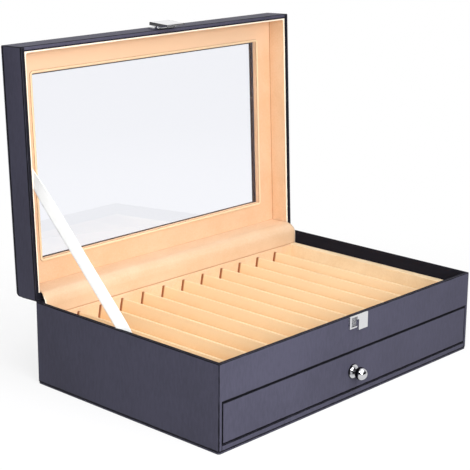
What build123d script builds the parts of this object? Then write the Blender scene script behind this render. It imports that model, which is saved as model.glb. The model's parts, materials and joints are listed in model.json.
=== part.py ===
from build123d import *
import os

# Pen collector chest: a leatherette-wrapped box with a fixed pen tray on top, a drawer of
# pen slots below it and a glazed lid held open by a ribbon. Sizes are in millimetres.
#
# Frame: the origin is the middle of the underside, +X runs to the right, +Y to the back
# and +Z up. The front, with the drawer and the striker, faces -Y. The lid is modelled
# shut and then swung back by its opening angle about the hinge line at the back.

os.makedirs("parts", exist_ok=True)

# --- the chest's outside ---------------------------------------------------------------
chest_width = 340.0
chest_depth = 222.0
chest_height = 76.0             # underside to the rim, lid left out
edge_round = 1.2                # wrapped outer corners
rim_round = 0.8                 # wrapped rims
base_corner = 2.4               # corners of the base board, seen from above
seam_round = 0.5                # wrapped edges along a seam, as under the walls
lining_round = 0.7              # padded edges of lined boards

# --- boards of the chest ---------------------------------------------------------------
base_thickness = 2.2
floor_thickness = 4.8           # floor of the drawer bay, seen as the strip under the drawer
wall_thickness = 3.2
bay_height = 36.6               # clear height for the drawer
shelf_thickness = 2.4
batten_thickness = 5.2          # strip on the back wall that the hinge is fixed to
batten_round = 3.0              # its upper edge, under the bend of the cloth

# --- pens ------------------------------------------------------------------------------
slot_count = 12                 # pen slots in the tray, and again in the drawer

# --- pen tray --------------------------------------------------------------------------
tray_inset = 12.0               # rim of the chest to the top of the tray
tray_floor_thickness = 1.6
tray_side_wall = 7.8
tray_front_wall = 3.0
tray_rear_wall = 2.0
tray_divider_thickness = 2.0    # at the top
tray_divider_foot = 7.0         # the cloth slopes out to this at the floor
tray_divider_drop = 3.0         # dividers lower than the tray's walls
tray_side_gap = 1.0
tray_front_gap = 0.4

# --- drawer ----------------------------------------------------------------------------
drawer_side_gap = 1.2
drawer_top_gap = 2.0            # drawer box to the shelf
drawer_run_gap = 0.3            # drawer box to the bay floor
drawer_back_gap = 1.0
front_gap = 1.3                 # drawer front to the bay, above and below
drawer_front_thickness = 5.0
drawer_side_thickness = 4.0
drawer_back_thickness = 4.0
drawer_floor_thickness = 2.4
drawer_divider_thickness = 2.0
drawer_divider_height = 20.0

# --- drawer knob -----------------------------------------------------------------------
knob_x = -2.6                   # a little left of the middle
knob_height = 24.6              # above the underside
rose_radius = 6.5
rose_thickness = 1.1
rose_round = 0.5
collar_radius = 4.0
collar_thickness = 1.2
ball_radius = 5.7
ball_standoff = 8.8             # drawer front to the ball's centre
neck_radius = 2.4
screw_radius = 1.5
screw_head_radius = 3.2
screw_head_depth = 1.8
screw_bite = 3.2                # screw inside the ball, past the neck
screw_clearance = 0.1

# --- lid -------------------------------------------------------------------------------
lid_open_angle = 92.4
rim_gap = 0.6                   # shut lid to the chest's rim
lid_inside_depth = 20.0         # rim to the lined frame
lid_back_round = 6.0            # the lid's outer back edge
lid_wall = 4.2
lid_rear_wall_thickness = 6.8   # wall and hinge strip in one
lining_thickness = 1.5
lining_corner = 2.5
inner_frame_thickness = 4.2
outer_frame_thickness = 2.6
inner_window_side = 26.4        # outer edge of the lid to the lined opening
inner_window_front = 26.8
inner_window_rear = 29.8
outer_window_side = 30.0        # outer edge of the lid to the wrapped opening
outer_window_front = 28.5
outer_window_rear = 30.4
glass_thickness = 1.5
glass_lap = 3.0                 # glass past the wrapped opening, all round
glass_gap = 0.1
frame_fit = 0.2                 # lined frame to the lid's walls

# --- hinge leather and hinge cloth -----------------------------------------------------
leather_thickness = 0.6
leather_reach = 20.0            # up the back, and along the lid
leather_bend = 0.9
cloth_thickness = 1.0
cloth_tuck = 8.0                # cloth hidden behind the tray
cloth_bend = 11.0
cloth_gap = 0.25                # cloth to the tray and to the lid's pieces
fabric_side_gap = 0.8           # ends of the cloth to the lid's lining

# --- ribbon stay -----------------------------------------------------------------------
ribbon_width = 11.5
ribbon_thickness = 0.4
ribbon_gap = 0.3                # ribbon to the wall and lining it is sewn to
ribbon_low_y = -9.0             # where it starts on the left wall
ribbon_low_above_tray = 2.0
ribbon_high_reach = 117.0       # hinge to where it ends in the lid
ribbon_high_depth = 9.0         # rim to where it ends in the lid

# --- latch: striker on the chest, sprung lever on the lid --------------------------------
latch_x = 2.0                   # the latch sits a little right of the middle
striker_width = 24.4
striker_height = 14.0           # right of the notch
striker_left_height = 10.9      # left of the notch
striker_thickness = 1.5
striker_drop = 0.6              # rim of the chest to the striker
pocket_width = 7.7
pocket_height = 8.5
pocket_depth = 1.1
pocket_margin = 2.2             # striker's left edge to the pocket
notch_width = 2.3
notch_drop = 4.1                # top of the striker to the notch
base_width = 20.4
base_plate_thickness = 1.0
base_length = 12.6
pivot_depth = 1.6               # rim to the lever's pivot
pivot_stand = 1.7               # lid's front to the lever's pivot
knuckle_radius = 1.4
knuckle_length = 15.0
pin_radius = 0.8
pin_head_radius = 1.3
pin_head_length = 0.8
pin_clearance = 0.05
lever_width = 22.6
lever_front_reach = 12.0        # pivot to the tip
lever_rear_reach = 10.6
lever_skirt = 3.0
lever_sheet = 0.9
lever_lift = 1.15               # pivot to the skirt's lower edge
lever_tilt = 4.5
lever_round = 0.8
tooth_width = 6.8
tooth_length = 1.2
relief_length = 7.0             # skirt cut back from the tip
tip_slot_width = 6.4
tip_slot_height = 1.0
tip_slot_shift = -7.2           # from the lever's middle
tip_hole_radius = 0.7
tip_hole_shift = 5.6
spring_width = 5.0
spring_thickness = 0.3
spring_rise = 2.0
spring_length = 6.0
latch_screw_radius = 1.0
latch_screw_head_radius = 1.7
latch_screw_head_height = 0.6
latch_screw_length = 3.2
latch_screw_spread = 6.0        # middle of the base to each screw
latch_screw_depth = 8.4         # rim to the screws

# --- planes that the pieces share --------------------------------------------------------
half_width = chest_width / 2
half_depth = chest_depth / 2
inner_x = half_width - wall_thickness
inner_front = -half_depth + wall_thickness
inner_back = half_depth - wall_thickness
bay_floor_top = base_thickness + floor_thickness
bay_top = bay_floor_top + bay_height
shelf_top = bay_top + shelf_thickness
tray_top = chest_height - tray_inset
tray_floor_top = shelf_top + tray_floor_thickness
batten_front = inner_back - batten_thickness
cloth_front = batten_front - cloth_thickness
hinge_y = half_depth
hinge_z = chest_height + rim_gap / 2
hinge_line = Axis((0, hinge_y, hinge_z), (1, 0, 0))
lid_rim = chest_height + rim_gap


def block(x0, x1, y0, y1, z0, z1):
    """A board given by its two faces along each axis."""
    centre = ((x0 + x1) / 2, (y0 + y1) / 2, (z0 + z1) / 2)
    return Pos(*centre) * Box(x1 - x0, y1 - y0, z1 - z0)


def lid_block(x0, x1, reach0, reach1, depth0, depth1):
    """A board of the shut lid: reach runs forward from the hinge, depth up from the rim."""
    return block(x0, x1, half_depth - reach1, half_depth - reach0,
                 lid_rim + depth0, lid_rim + depth1)


def swing(part):
    """Turns a piece of the shut lid to where the open lid carries it."""
    return part.rotate(hinge_line, -lid_open_angle)


def rod(radius, x0, x1, y, z):
    """A round bar along X."""
    return Pos((x0 + x1) / 2, y, z) * Rot(0, 90, 0) * Cylinder(radius, x1 - x0)


def stud(radius, y0, y1, x, z):
    """A round bar along Y."""
    return Pos(x, (y0 + y1) / 2, z) * Rot(90, 0, 0) * Cylinder(radius, y1 - y0)


def side_profile(points, x0, x1):
    """A closed outline of (y, z) points, drawn from the side and carried along X."""
    plane = Plane(origin=(x0, 0, 0), x_dir=(0, 1, 0), z_dir=(1, 0, 0))
    return extrude(plane * make_face(Polyline(*points, close=True)), x1 - x0)


def bent_strip(face_line, back_line, face_bend, back_bend, x0, x1):
    """A strip with one rounded bend, between two lines of three (y, z) points each."""
    plane = Plane(origin=(x0, 0, 0), x_dir=(0, 1, 0), z_dir=(1, 0, 0))
    face_edge = FilletPolyline(*face_line, radius=face_bend)
    back_edge = FilletPolyline(*back_line, radius=back_bend)
    ends = [Line(face_line[0], back_line[0]), Line(face_line[-1], back_line[-1])]
    section = make_face([*face_edge.edges(), *back_edge.edges(), *ends])
    return extrude(plane * section, x1 - x0)


def outer_edges(part, axis, side_axis, end):
    """The edges along axis on the lowest (0) or highest (-1) side of side_axis."""
    return part.edges().filter_by(axis).group_by(side_axis)[end]


def save(node, part):
    """Writes one piece as its own file, under its node's name."""
    export_step(part, f"parts/{node}.step")


# --- case boards ---------------------------------------------------------------------------
def case_boards():
    """Base, bay floor, two sides, back, front above the drawer, shelf and hinge batten."""
    base = block(-half_width, half_width, -half_depth, half_depth, 0, base_thickness)
    base = fillet(base.edges().filter_by(Axis.Z), base_corner)
    flats = base.faces().filter_by(Axis.Z)
    save("base_board", fillet(flats.edges(), seam_round))
    save("bay_floor", block(-inner_x, inner_x, -half_depth, inner_back,
                            base_thickness, bay_floor_top))

    for node, side in (("left_side", -1), ("right_side", 1)):
        inside, outside = sorted((side * inner_x, side * half_width))
        board = block(inside, outside, -half_depth, half_depth, base_thickness, chest_height)
        end = 0 if side < 0 else -1
        board = fillet(outer_edges(board, Axis.Z, Axis.X, end), edge_round)
        rim = board.edges().group_by(Axis.Z)[-1].sort_by(Axis.X)[end]
        save(node, fillet(rim, rim_round))

    back = block(-inner_x, inner_x, inner_back, half_depth, base_thickness, chest_height)
    save("back_panel", back)
    fascia = block(-inner_x, inner_x, -half_depth, inner_front, bay_top, chest_height)
    rim = fascia.edges().filter_by(Axis.X).group_by(Axis.Z)[-1].sort_by(Axis.Y)[0]
    save("front_fascia", fillet(rim, rim_round))
    save("shelf", block(-inner_x, inner_x, inner_front, inner_back, bay_top, shelf_top))
    batten = block(-inner_x, inner_x, batten_front, inner_back, shelf_top, chest_height)
    bend_edge = batten.edges().filter_by(Axis.X).group_by(Axis.Z)[-1].sort_by(Axis.Y)[0]
    save("hinge_batten", fillet(bend_edge, batten_round))


# --- pen slots -------------------------------------------------------------------------------
def soft_top(board, axis):
    """Rounds the two top edges of a lined board that run along axis."""
    return fillet(outer_edges(board, axis, Axis.Z, -1), lining_round)


def dividers(prefix, half_span, thickness, foot, y0, y1, z0, z1):
    """Evenly spaced dividers, as wide as foot at z0, that part a space into the pen slots."""
    pitch = 2 * half_span / slot_count
    outline = [(-foot / 2, z0), (foot / 2, z0), (thickness / 2, z1), (-thickness / 2, z1)]
    for number in range(1, slot_count):
        x = -half_span + number * pitch
        plane = Plane(origin=(x, y1, 0), x_dir=(1, 0, 0), z_dir=(0, -1, 0))
        board = extrude(plane * make_face(Polyline(*outline, close=True)), y1 - y0)
        save(f"{prefix}_{number:02d}", soft_top(board, Axis.Y))


def pen_tray():
    """The lined tray that stands on the shelf: floor, four walls and its dividers."""
    outer = inner_x - tray_side_gap
    inner = outer - tray_side_wall
    front = inner_front + tray_front_gap
    slot_front = front + tray_front_wall
    rear = cloth_front - cloth_gap
    slot_rear = rear - tray_rear_wall
    save("tray_floor", block(-outer, outer, front, rear, shelf_top, tray_floor_top))
    walls = (("tray_left_wall", -outer, -inner, front, rear, Axis.Y),
             ("tray_right_wall", inner, outer, front, rear, Axis.Y),
             ("tray_front_wall", -inner, inner, front, slot_front, Axis.X),
             ("tray_rear_wall", -inner, inner, slot_rear, rear, Axis.X))
    for node, x0, x1, y0, y1, axis in walls:
        save(node, soft_top(block(x0, x1, y0, y1, tray_floor_top, tray_top), axis))
    dividers("tray_divider", inner, tray_divider_thickness, tray_divider_foot,
             slot_front, slot_rear, tray_floor_top, tray_top - tray_divider_drop)


# --- drawer ----------------------------------------------------------------------------------
def drawer():
    """The drawer: front, floor, two sides, back and its dividers."""
    outer = inner_x - drawer_side_gap
    inner = outer - drawer_side_thickness
    front_back = -half_depth + drawer_front_thickness
    rear = inner_back - drawer_back_gap
    slot_rear = rear - drawer_back_thickness
    bottom = bay_floor_top + drawer_run_gap
    floor_top = bottom + drawer_floor_thickness
    top = bay_top - drawer_top_gap

    front = block(-outer, outer, -half_depth, front_back,
                  bay_floor_top + front_gap, bay_top - front_gap)
    front = fillet(outer_edges(front, Axis.X, Axis.Y, 0), rim_round / 2)
    screw_hole = stud(screw_radius + screw_clearance, -half_depth, front_back, knob_x, knob_height)
    head_hole = Pos(knob_x, front_back - screw_head_depth / 2, knob_height) * Rot(90, 0, 0) * Cone(
        screw_head_radius + screw_clearance, screw_radius + screw_clearance, screw_head_depth)
    save("drawer_front", front - screw_hole - head_hole)
    save("drawer_floor", block(-outer, outer, front_back, rear, bottom, floor_top))
    walls = (("drawer_left_side", -outer, -inner, front_back, rear, Axis.Y),
             ("drawer_right_side", inner, outer, front_back, rear, Axis.Y),
             ("drawer_back", -inner, inner, slot_rear, rear, Axis.X))
    for node, x0, x1, y0, y1, axis in walls:
        save(node, soft_top(block(x0, x1, y0, y1, floor_top, top), axis))
    dividers("drawer_divider", inner, drawer_divider_thickness, drawer_divider_thickness,
             front_back, slot_rear, floor_top, floor_top + drawer_divider_height)


def knob():
    """The drawer's knob: a round rose, a ball on a neck and the screw that holds them."""
    face = -half_depth
    rose_face = face - rose_thickness
    collar_face = rose_face - collar_thickness
    front_back = face + drawer_front_thickness
    ball_y = face - ball_standoff
    screw_tip = ball_y + ball_radius - screw_bite
    bore = screw_radius + screw_clearance

    rose = stud(rose_radius, rose_face, face, knob_x, knob_height)
    rose = fillet(rose.edges().group_by(Axis.Y)[0], rose_round)
    collar = stud(collar_radius, collar_face, rose_face, knob_x, knob_height)
    collar = fillet(collar.edges().group_by(Axis.Y)[0], rose_round)
    save("knob_rose", rose + collar - stud(bore, collar_face, face, knob_x, knob_height))
    ball = Pos(knob_x, ball_y, knob_height) * Sphere(ball_radius)
    ball += stud(neck_radius, ball_y, collar_face, knob_x, knob_height)
    save("knob_ball", ball - stud(screw_radius, screw_tip, collar_face, knob_x, knob_height))
    screw = stud(screw_radius, screw_tip, front_back, knob_x, knob_height)
    screw += Pos(knob_x, front_back - screw_head_depth / 2, knob_height) * Rot(90, 0, 0) * Cone(
        screw_head_radius, screw_radius, screw_head_depth)
    save("knob_screw", screw)


# --- lid -------------------------------------------------------------------------------------
def latch_screw_places():
    """Where the latch's screws stand along X."""
    return (latch_x - latch_screw_spread, latch_x + latch_screw_spread)


def back_corner(lid_top):
    """What the rounding takes off the shut lid's outer back edge."""
    axis = lid_top - lid_back_round
    corner = lid_block(-half_width - 1, half_width + 1, -1, lid_back_round, axis, lid_top + 1)
    return corner - rod(lid_back_round, -half_width - 1, half_width + 1,
                        half_depth - lid_back_round, lid_rim + axis)


def lid_boards():
    """The lid's four walls, the wrapped window frame, the glass and the lined inner frame."""
    inner = half_width - lid_wall
    front_inside = chest_depth - lid_wall
    rear_inside = lid_rear_wall_thickness
    frame_top = lid_inside_depth + inner_frame_thickness
    lid_top = frame_top + outer_frame_thickness
    corner = back_corner(lid_top)

    for node, side in (("lid_left_wall", -1), ("lid_right_wall", 1)):
        inside, outside = sorted((side * inner, side * half_width))
        wall = lid_block(inside, outside, 0, chest_depth, 0, frame_top)
        end = 0 if side < 0 else -1
        wall = fillet(outer_edges(wall, Axis.Z, Axis.X, end), edge_round)
        save(node, swing(wall - corner))
    front_wall = lid_block(-inner, inner, front_inside, chest_depth, 0, frame_top)
    for x in latch_screw_places():
        front_wall -= stud(latch_screw_radius, -half_depth, -half_depth + latch_screw_length,
                           x, lid_rim + latch_screw_depth)
    save("lid_front_wall", swing(front_wall))
    rear_wall = lid_block(-inner, inner, 0, rear_inside, 0, frame_top)
    save("lid_rear_wall", swing(rear_wall - corner))

    window_x = half_width - outer_window_side
    window_far = chest_depth - outer_window_front
    frame = lid_block(-half_width, half_width, 0, chest_depth, frame_top, lid_top)
    frame = fillet(frame.edges().filter_by(Axis.Z), edge_round)
    frame = fillet(frame.faces().sort_by(Axis.Z)[-1].edges(), edge_round)
    frame = fillet(frame.faces().sort_by(Axis.Z)[0].edges(), seam_round)
    frame -= lid_block(-window_x, window_x, outer_window_rear, window_far, frame_top, lid_top)
    seat = glass_lap + glass_gap
    frame -= lid_block(-window_x - seat, window_x + seat, outer_window_rear - seat,
                       window_far + seat, frame_top, frame_top + glass_thickness + glass_gap)
    save("window_frame", swing(frame - corner))
    save("glass_pane", swing(lid_block(
        -window_x - glass_lap, window_x + glass_lap, outer_window_rear - glass_lap,
        window_far + glass_lap, frame_top, frame_top + glass_thickness)))

    lined_x = inner - frame_fit
    ring = lid_block(-lined_x, lined_x, rear_inside + frame_fit, front_inside - frame_fit,
                     lid_inside_depth, frame_top)
    opening_x = half_width - inner_window_side
    ring -= lid_block(-opening_x, opening_x, inner_window_rear,
                      chest_depth - inner_window_front, lid_inside_depth, frame_top)
    opening = ring.faces().sort_by(Axis.Z)[0].inner_wires()[0]
    save("inner_frame", swing(fillet(opening.edges(), lining_round)))

    lining = lid_block(-inner, inner, rear_inside, front_inside, 0, lid_inside_depth)
    lining -= lid_block(-inner + lining_thickness, inner - lining_thickness,
                        rear_inside, front_inside - lining_thickness, 0, lid_inside_depth)
    corners = lining.edges().filter_by(Axis.Z).filter_by_position(
        Axis.Y, -half_depth + lid_wall + lining_thickness / 2, half_depth - rear_inside - 1)
    lining = fillet(corners, lining_corner)
    rim = lining.faces().sort_by(Axis.Z)[0].edges().sort_by(Axis.Y)[:-2]
    save("lid_lining", swing(fillet(rim, lining_round)))


# --- hinge -----------------------------------------------------------------------------------
def lid_point(reach, depth):
    """(y, z) of a point of the open lid, from its reach and its depth past the hinge line."""
    shut = Pos(0, hinge_y - reach, hinge_z + depth) * Vertex(0, 0, 0)
    point = swing(shut).center()
    return (point.Y, point.Z)


def hinge_fabrics():
    """The leather along the outside of the hinge and the cloth that lines its inside."""
    leather_end = half_width - rim_round
    cloth_side = half_width - lid_wall - lining_thickness - fabric_side_gap
    skin = leather_thickness
    leather_face = [(half_depth, hinge_z - leather_reach),
                    (half_depth, hinge_z - cloth_gap),
                    lid_point(-cloth_gap, leather_reach)]
    leather_back = [(half_depth + skin, hinge_z - leather_reach),
                    (half_depth + skin, hinge_z - cloth_gap - skin),
                    lid_point(-cloth_gap - skin, leather_reach)]
    save("hinge_leather", bent_strip(leather_face, leather_back, leather_bend,
                                     leather_bend - skin, -leather_end, leather_end))

    low = tray_top - cloth_tuck
    lid_face = lid_rear_wall_thickness + cloth_gap
    cloth_end = lid_inside_depth - cloth_gap
    back_start = lid_point(lid_face, batten_front - half_depth)
    front_start = lid_point(lid_face + cloth_thickness, cloth_front - half_depth)
    back_line = [(batten_front, low), (batten_front, back_start[1]),
                 lid_point(lid_face, cloth_end)]
    front_line = [(cloth_front, low), (cloth_front, front_start[1]),
                  lid_point(lid_face + cloth_thickness, cloth_end)]
    save("hinge_cloth", bent_strip(front_line, back_line, cloth_bend,
                                   cloth_bend - cloth_thickness, -cloth_side, cloth_side))


def ribbon():
    """The flat ribbon from the chest's left wall to the lid's left lining, pulled tight."""
    half = ribbon_thickness / 2
    high_y, high_z = lid_point(ribbon_high_reach, ribbon_high_depth)
    low = Vector(-inner_x + ribbon_gap + half, ribbon_low_y, tray_top + ribbon_low_above_tray)
    high = Vector(-half_width + lid_wall + lining_thickness + ribbon_gap + half, high_y, high_z)
    along = high - low
    across = Vector(1, 0, 0) - along.normalized() * along.normalized().X
    place = Plane(origin=(low + high) / 2, x_dir=along, z_dir=across)
    save("ribbon_stay", place * Box(along.length, ribbon_width, ribbon_thickness))


# --- latch -----------------------------------------------------------------------------------
def striker():
    """The striker on the chest's front: a notch parts a pad from the pocket for the tooth."""
    face = -half_depth
    front = face - striker_thickness
    left = latch_x - striker_width / 2
    right = left + striker_width
    top = chest_height - striker_drop
    bottom = top - striker_height
    pocket_left = left + pocket_margin
    notch_left = pocket_left + pocket_width
    notch_right = notch_left + notch_width
    left_bottom = top - striker_left_height
    plate = block(left, right, front, face, left_bottom, top)
    plate += block(notch_right, right, front, face, bottom, top)
    plate -= block(notch_left, notch_right, front, face, bottom, top - notch_drop)
    pocket_bottom = (top + left_bottom - pocket_height) / 2
    plate -= block(pocket_left, notch_left, front, front + pocket_depth,
                   pocket_bottom, pocket_bottom + pocket_height)
    save("striker_plate", plate)


def latch_block(x0, x1, stand0, stand1, depth0, depth1):
    """A block on the shut lid's front: stand runs out from the front, depth up from the rim."""
    return block(latch_x + x0, latch_x + x1, -half_depth - stand1, -half_depth - stand0,
                 lid_rim + depth0, lid_rim + depth1)


def latch_point(stand, depth):
    """(y, z) on the shut lid's front, as latch_block counts them."""
    return (-half_depth - stand, lid_rim + depth)


def latch_base():
    """The plate on the lid's front with its knuckle, the pin, the leaf spring and screws."""
    pivot_y, pivot_z = latch_point(pivot_stand, pivot_depth)
    half = base_width / 2
    plate = latch_block(-half, half, 0, base_plate_thickness,
                        pivot_depth, pivot_depth + base_length)
    knuckle = rod(knuckle_radius, latch_x - knuckle_length / 2, latch_x + knuckle_length / 2,
                  pivot_y, pivot_z)
    plate += knuckle
    plate -= rod(pin_radius, latch_x - half, latch_x + half, pivot_y, pivot_z)
    z = lid_rim + latch_screw_depth
    plate_face = -half_depth - base_plate_thickness
    screws = []
    for x in latch_screw_places():
        shank = stud(latch_screw_radius, plate_face, -half_depth + latch_screw_length, x, z)
        head = stud(latch_screw_head_radius, plate_face - latch_screw_head_height,
                    plate_face, x, z)
        plate -= stud(latch_screw_radius, plate_face, -half_depth, x, z)
        screws.append(swing(shank + head))
    save("latch_base", swing(plate))
    save("latch_screws", Compound(children=screws))

    head = lever_width / 2 + pin_clearance * 4
    end = head + pin_head_length
    pin = rod(pin_radius, latch_x - end, latch_x + end, pivot_y, pivot_z)
    for x0, x1 in ((-end, -head), (head, end)):
        pin += rod(pin_head_radius, latch_x + x0, latch_x + x1, pivot_y, pivot_z)
    save("latch_pin", swing(pin))

    foot = base_plate_thickness
    start = pivot_depth + base_length
    leaf = side_profile([latch_point(foot, start),
                         latch_point(foot, start - spring_length / 2),
                         latch_point(foot + spring_rise, start - spring_length),
                         latch_point(foot + spring_rise + spring_thickness,
                                     start - spring_length),
                         latch_point(foot + spring_thickness, start - spring_length / 2),
                         latch_point(foot + spring_thickness, start)],
                        latch_x - spring_width / 2, latch_x + spring_width / 2)
    save("latch_spring", swing(leaf))


def latch_lever():
    """The pressed-sheet lever: a skirted cover with two ears on the pin and a hooked tip."""
    half = lever_width / 2
    low = pivot_stand + lever_lift
    high = low + lever_skirt
    tip = pivot_depth - lever_front_reach
    tail = pivot_depth + lever_rear_reach
    shell = latch_block(-half, half, low, high, tip, tail)
    shell = fillet(outer_edges(shell, Axis.X, Axis.Y, 0), lever_round)
    shell -= latch_block(-half + lever_sheet, half - lever_sheet, low, high - lever_sheet,
                         tip + lever_sheet, tail - lever_sheet)

    tooth_x = pocket_margin + pocket_width / 2 - striker_width / 2
    relief = [latch_point(low, tip), latch_point(low + tooth_length, tip),
              latch_point(low, tip + relief_length)]
    for x0, x1 in ((-half, tooth_x - tooth_width / 2), (tooth_x + tooth_width / 2, half)):
        shell -= side_profile(relief, latch_x + x0, latch_x + x1)

    pivot_y, pivot_z = latch_point(pivot_stand, pivot_depth)
    for x0, x1 in ((-half, -half + lever_sheet), (half - lever_sheet, half)):
        shell += rod(pin_head_radius, latch_x + x0, latch_x + x1, pivot_y, pivot_z)
        shell += latch_block(x0, x1, pivot_stand, low + lever_sheet,
                             pivot_depth - pin_head_radius, pivot_depth + pin_head_radius)
    shell -= rod(pin_radius + pin_clearance, latch_x - half, latch_x + half, pivot_y, pivot_z)

    slot_stand = high - lever_sheet - tip_slot_height / 2
    shell -= latch_block(tip_slot_shift - tip_slot_width / 2,
                         tip_slot_shift + tip_slot_width / 2,
                         slot_stand - tip_slot_height / 2, slot_stand + tip_slot_height / 2,
                         tip, tip + lever_sheet)
    hole_y, _ = latch_point(slot_stand, 0)
    hole = Pos(latch_x + tip_hole_shift, hole_y, lid_rim + tip + lever_sheet / 2)
    shell -= hole * Cylinder(tip_hole_radius, lever_sheet)
    shell = shell.rotate(Axis((0, pivot_y, pivot_z), (1, 0, 0)), lever_tilt)
    save("latch_lever", swing(shell))


case_boards()
pen_tray()
drawer()
knob()
lid_boards()
hinge_fabrics()
ribbon()
striker()
latch_base()
latch_lever()
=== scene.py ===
import json
import math
import bpy
import numpy as np
from mathutils import Matrix, Vector


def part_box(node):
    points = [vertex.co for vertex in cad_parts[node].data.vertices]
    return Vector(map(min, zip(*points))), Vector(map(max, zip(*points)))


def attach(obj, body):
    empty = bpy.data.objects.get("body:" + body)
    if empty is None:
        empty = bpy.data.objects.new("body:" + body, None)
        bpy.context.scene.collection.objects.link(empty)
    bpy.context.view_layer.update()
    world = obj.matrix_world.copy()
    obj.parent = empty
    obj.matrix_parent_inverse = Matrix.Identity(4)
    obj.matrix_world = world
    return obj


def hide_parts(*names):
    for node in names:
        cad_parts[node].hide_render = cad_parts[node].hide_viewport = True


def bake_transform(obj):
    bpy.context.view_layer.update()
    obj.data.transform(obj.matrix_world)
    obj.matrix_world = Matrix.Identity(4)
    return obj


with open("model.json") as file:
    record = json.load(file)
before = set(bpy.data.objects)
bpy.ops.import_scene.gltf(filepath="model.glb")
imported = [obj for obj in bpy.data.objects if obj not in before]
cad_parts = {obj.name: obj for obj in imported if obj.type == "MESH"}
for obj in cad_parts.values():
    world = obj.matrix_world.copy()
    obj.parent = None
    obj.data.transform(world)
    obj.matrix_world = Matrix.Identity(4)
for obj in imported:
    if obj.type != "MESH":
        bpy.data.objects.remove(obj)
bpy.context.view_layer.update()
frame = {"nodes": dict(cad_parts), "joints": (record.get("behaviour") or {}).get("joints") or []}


# --- Wrapped boards of the chest ----------------------------------------------------------------
# The base, the walls, the front and the strip under the drawer are thin fibreboard,
# wrapped in slate-grey leatherette with a fine pressed grain and glued at the edges. The
# wrap is darker along the boards' edges, partly for the seams and partly as painted shade
# in the gaps between parts, and it is painted nearly black on the boards' inner sides as
# painted shade.

def node_group(name, inputs, outputs):
    """An empty shader group, with inputs of (name, type, value) and outputs of (name, type)."""
    group = bpy.data.node_groups.new(name, "ShaderNodeTree")
    for label, kind, value in inputs:
        socket = group.interface.new_socket(label, in_out="INPUT", socket_type=kind)
        socket.default_value = value
    for label, kind in outputs:
        group.interface.new_socket(label, in_out="OUTPUT", socket_type=kind)
    return group, group.nodes.new("NodeGroupInput"), group.nodes.new("NodeGroupOutput")


def plug(tree, value, socket):
    """Links an output socket to an input, or sets the input to a plain value."""
    if isinstance(value, bpy.types.NodeSocket):
        tree.links.new(value, socket)
    else:
        socket.default_value = value


def calc(tree, operation, *values):
    """The result of a Math node on sockets or numbers."""
    node = tree.nodes.new("ShaderNodeMath")
    node.operation = operation
    for place, value in enumerate(values):
        plug(tree, value, node.inputs[place])
    return node.outputs[0]


def ramp(tree, value, low, high, out_low=0.0, out_high=1.0, smooth=True):
    """Carries value from low..high over to out_low..out_high, held at both ends."""
    node = tree.nodes.new("ShaderNodeMapRange")
    node.interpolation_type = "SMOOTHSTEP" if smooth else "LINEAR"
    plug(tree, value, node.inputs["Value"])
    plug(tree, low, node.inputs["From Min"])
    plug(tree, high, node.inputs["From Max"])
    plug(tree, out_low, node.inputs["To Min"])
    plug(tree, out_high, node.inputs["To Max"])
    return node.outputs["Result"]


def noise(tree, vector, scale, detail=2.0, roughness=0.5):
    """Noise of 0 to 1 with features about 1/scale metres across."""
    node = tree.nodes.new("ShaderNodeTexNoise")
    plug(tree, vector, node.inputs["Vector"])
    plug(tree, scale, node.inputs["Scale"])
    node.inputs["Detail"].default_value = detail
    node.inputs["Roughness"].default_value = roughness
    return node.outputs["Fac"]


def tint(tree, amount, first, second):
    """A colour that goes from first to second as amount goes from 0 to 1."""
    node = tree.nodes.new("ShaderNodeMix")
    node.data_type = "RGBA"
    plug(tree, amount, node.inputs["Factor"])
    plug(tree, first, node.inputs["A"])
    plug(tree, second, node.inputs["B"])
    return node.outputs["Result"]


def srgb(red, green, blue):
    """A colour written as 0 to 255 on screen, as Blender's linear red, green, blue, alpha."""
    shown = np.array([red, green, blue]) / 255
    linear = np.where(shown <= 0.04045, shown / 12.92, ((shown + 0.055) / 1.055) ** 2.4)
    return (*linear.tolist(), 1.0)


def new_material(name):
    """A material with one Principled shader: (material, its tree, the shader)."""
    material = bpy.data.materials.new(name)
    material.use_nodes = True
    tree = material.node_tree
    return material, tree, tree.nodes["Principled BSDF"]


def own_place(tree):
    """The piece's own coordinates, in metres."""
    return tree.nodes.new("ShaderNodeTexCoord").outputs["Object"]


def add_bump(tree, shader, height, depth, strength=1.0):
    """Raises the shader's surface by height, 0 to 1, times depth in metres."""
    bump = tree.nodes.new("ShaderNodeBump")
    bump.inputs["Distance"].default_value = depth
    bump.inputs["Strength"].default_value = strength
    plug(tree, height, bump.inputs["Height"])
    tree.links.new(bump.outputs["Normal"], shader.inputs["Normal"])


def dress(material, *names):
    """Gives CAD nodes a material."""
    for name in names:
        for slot in frame["nodes"][name].material_slots:
            slot.material = material


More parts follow.
